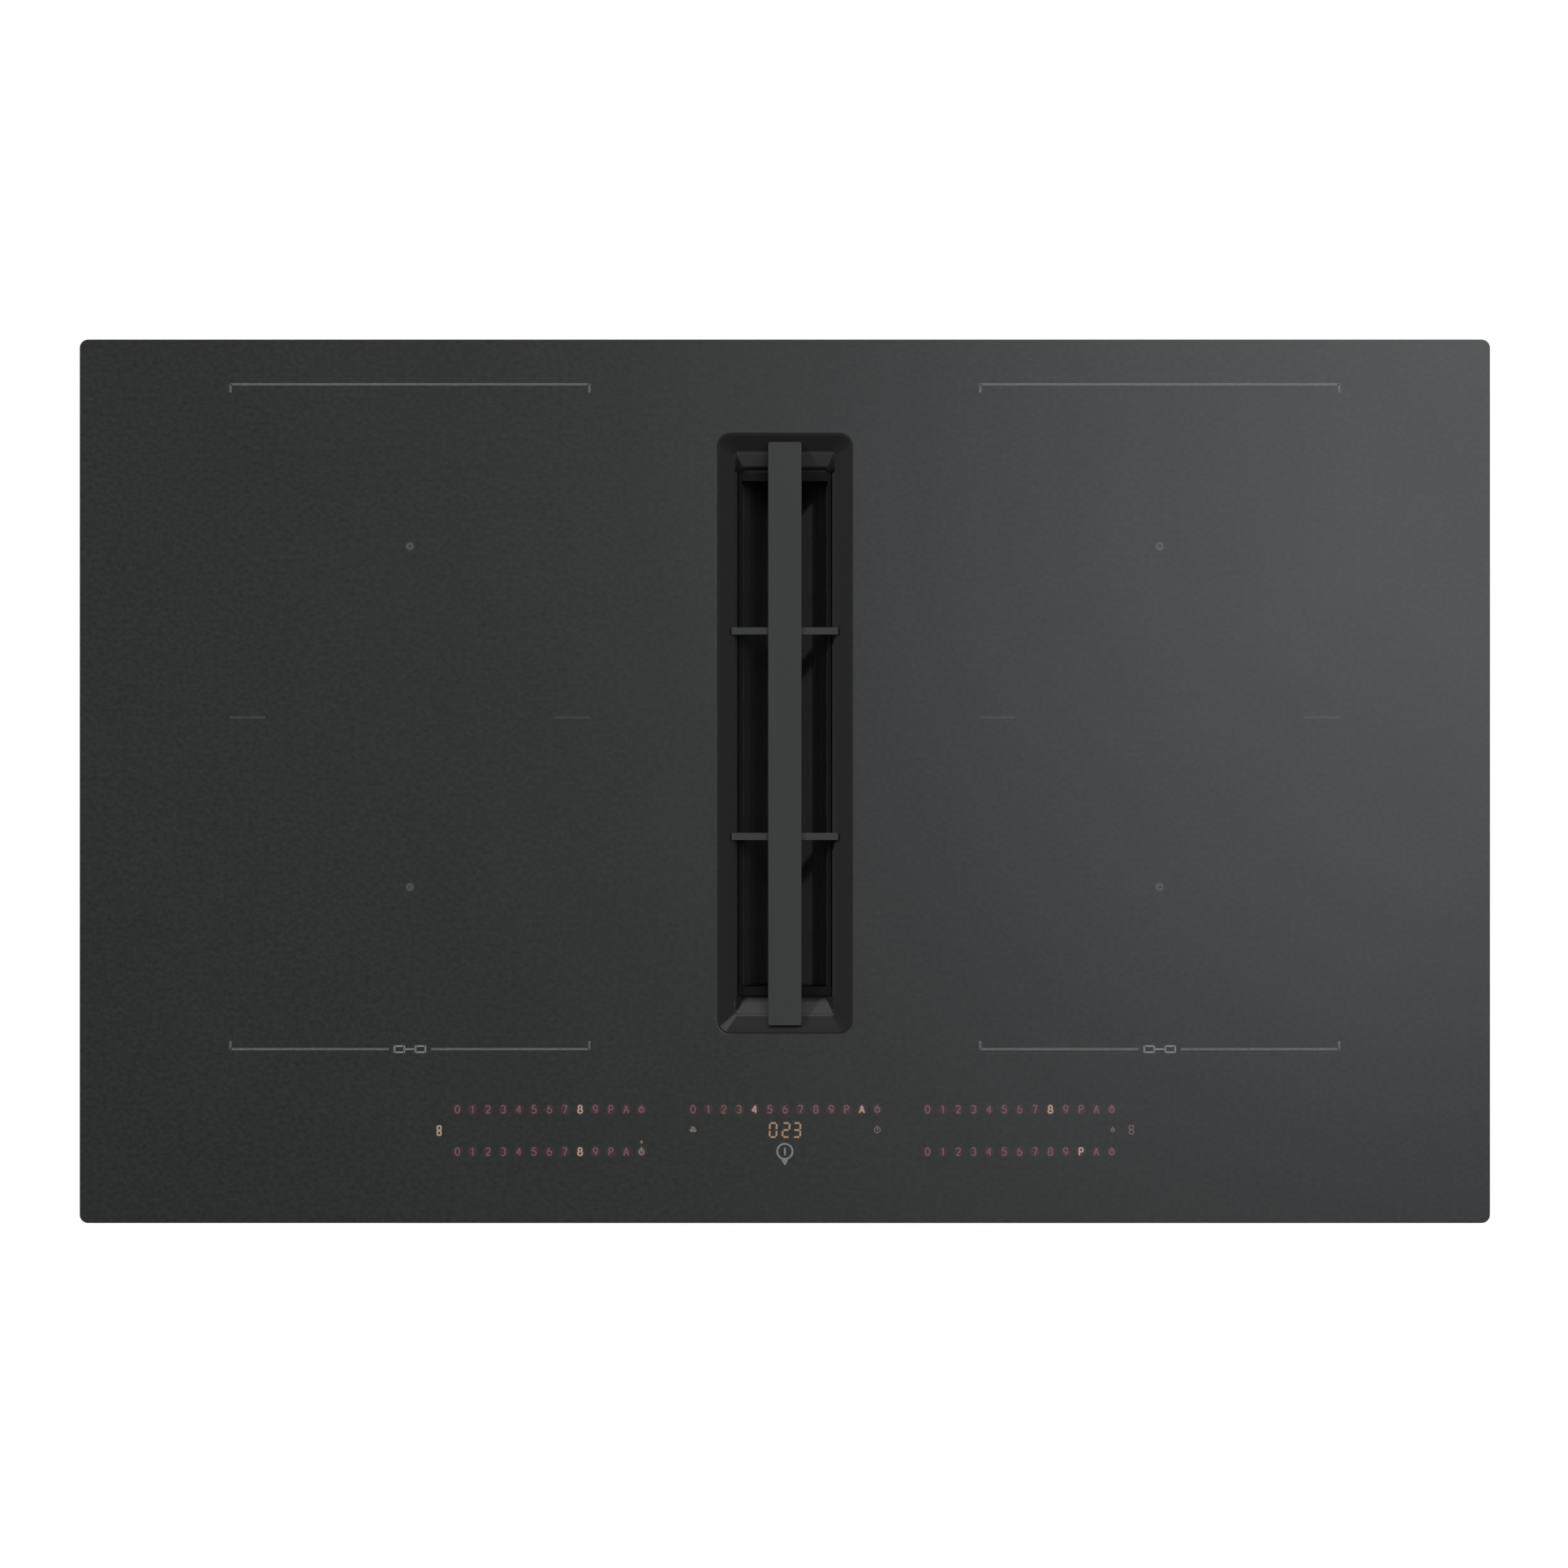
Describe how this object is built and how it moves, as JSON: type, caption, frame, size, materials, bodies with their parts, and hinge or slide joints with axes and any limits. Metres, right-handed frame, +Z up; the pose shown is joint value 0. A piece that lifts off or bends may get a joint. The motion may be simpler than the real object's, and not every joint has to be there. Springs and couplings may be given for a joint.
{
  "type": "downdraft induction cooktop",
  "caption": "Glass induction hob with a central air intake slot, cover bar, grease filter, overflow tray and a blower under its casing.",
  "frame": {"origin": "on the surface the free-standing cooktop rests on, under the middle of the glass", "axes": "+X to the cook's right, +Y to the back, +Z up"},
  "size_m": [0.83, 0.52, 0.2116],
  "materials": {
    "ceramic_glass": "matt dark grey glass ceramic with a fine grain",
    "foam": "soft foam strip",
    "trim_plastic": "satin black moulding",
    "grille_paint": "matt grey powder coat",
    "filter_plastic": "satin black moulding",
    "filter_steel": "dark stretched-metal screen",
    "zinc_steel": "zinc-coated sheet",
    "spring_steel": "bright spring steel",
    "aluminium": "mill finish sheet",
    "copper_wire": "wound enamelled copper wire",
    "ferrite": "dark sintered ferrite",
    "mica": "pale insulating sheet",
    "white_nylon": "natural moulding",
    "circuit_board": "green laminate with parts",
    "black_plastic": "satin black moulding",
    "motor_steel": "black motor can"
  },
  "bodies": {
    "hob": {"glass_panel": "ceramic_glass", "glass_edge_seal": "foam", "blower_seal": "foam", "outlet_seal": "foam", "intake_trim": "trim_plastic", "casing_tray": "zinc_steel", "touch_board_holder": "black_plastic", "touch_board": "circuit_board", "terminal_box": "black_plastic", "terminal_block": "white_nylon", "cable_gland": "black_plastic", "filter_housing": "black_plastic", "blower_lower_shell": "black_plastic", "blower_inlet_plate": "black_plastic", "blower_upper_shell": "black_plastic", "blower_motor": "motor_steel", "outlet_spigot": "black_plastic", "coil_carrier_left": "aluminium", "heat_sink_left": "aluminium", "mica_sheet_left": "mica", "board_tray_left": "white_nylon", "power_board_left": "circuit_board", "cooling_fan_frame_left": "black_plastic", "ferrite_front_left": "ferrite", "coil_front_left": "copper_wire", "sensor_front_left": "white_nylon", "clip_plate_front_left": "zinc_steel", "ferrite_rear_left": "ferrite", "coil_rear_left": "copper_wire", "sensor_rear_left": "white_nylon", "clip_plate_rear_left": "zinc_steel", "coil_carrier_right": "aluminium", "heat_sink_right": "aluminium", "mica_sheet_right": "mica", "board_tray_right": "white_nylon", "power_board_right": "circuit_board", "cooling_fan_frame_right": "black_plastic", "ferrite_front_right": "ferrite", "coil_front_right": "copper_wire", "sensor_front_right": "white_nylon", "clip_plate_front_right": "zinc_steel", "ferrite_rear_right": "ferrite", "coil_rear_right": "copper_wire", "sensor_rear_right": "white_nylon", "clip_plate_rear_right": "zinc_steel"},
    "cover_grille": {"grille_bar": "grille_paint", "grille_frame": "grille_paint"},
    "grease_filter": {"filter_frame": "filter_plastic", "filter_screen_left": "filter_steel", "filter_screen_right": "filter_steel"},
    "overflow_drawer": {"overflow_tray": "black_plastic"},
    "blower_wheel": {"impeller": "black_plastic"},
    "left_fan_wheel": {"cooling_fan_rotor_left": "black_plastic"},
    "right_fan_wheel": {"cooling_fan_rotor_right": "black_plastic"},
    "terminal_lid": {"terminal_cover": "black_plastic"},
    "front_left_clip": {"spring_clip_front_left": "spring_steel"},
    "rear_left_clip": {"spring_clip_rear_left": "spring_steel"},
    "front_right_clip": {"spring_clip_front_right": "spring_steel"},
    "rear_right_clip": {"spring_clip_rear_right": "spring_steel"}
  },
  "joints": [
    {"name": "grille_lift", "type": "slide", "parent": "hob", "child": "cover_grille", "axis": [0, 0, 1], "range_m": [0, 0.2]},
    {"name": "filter_lift", "type": "slide", "parent": "hob", "child": "grease_filter", "axis": [0, 0, 1], "range_m": [0, 0.1]},
    {"name": "tray_slide", "type": "slide", "parent": "hob", "child": "overflow_drawer", "axis": [0, -1, 0], "range_m": [0, 0.25]},
    {"name": "blower_spin", "type": "hinge", "parent": "hob", "child": "blower_wheel", "pos_m": [0.18959, 0.0103, 0.0135], "axis": [0, 0, 1], "continuous": true},
    {"name": "left_fan_spin", "type": "hinge", "parent": "hob", "child": "left_fan_wheel", "pos_m": [-0.2215, -0.0277, 0.1576], "axis": [0, 0, 1], "continuous": true},
    {"name": "right_fan_spin", "type": "hinge", "parent": "hob", "child": "right_fan_wheel", "pos_m": [0.2215, -0.0277, 0.1576], "axis": [0, 0, 1], "continuous": true},
    {"name": "terminal_lid_hinge", "type": "hinge", "parent": "hob", "child": "terminal_lid", "pos_m": [-0.291, 0.162, 0.12045], "axis": [-1, 0, 0], "range_deg": [0, 100]},
    {"name": "front_left_clip_bend", "type": "hinge", "parent": "hob", "child": "front_left_clip", "pos_m": [-0.3736, -0.15, 0.1643], "axis": [0, 1, 0], "range_deg": [0, 14], "stiffness_Nm_per_rad": 0.1},
    {"name": "rear_left_clip_bend", "type": "hinge", "parent": "hob", "child": "rear_left_clip", "pos_m": [-0.3736, 0.15, 0.1643], "axis": [0, 1, 0], "range_deg": [0, 14], "stiffness_Nm_per_rad": 0.1},
    {"name": "front_right_clip_bend", "type": "hinge", "parent": "hob", "child": "front_right_clip", "pos_m": [0.3736, -0.15, 0.1643], "axis": [0, -1, 0], "range_deg": [0, 14], "stiffness_Nm_per_rad": 0.1},
    {"name": "rear_right_clip_bend", "type": "hinge", "parent": "hob", "child": "rear_right_clip", "pos_m": [0.3736, 0.15, 0.1643], "axis": [0, -1, 0], "range_deg": [0, 14], "stiffness_Nm_per_rad": 0.1}
  ],
  "couplings": [
    {"joint": "filter_lift", "follows": "grille_lift", "ratio": 0.5}
  ]
}
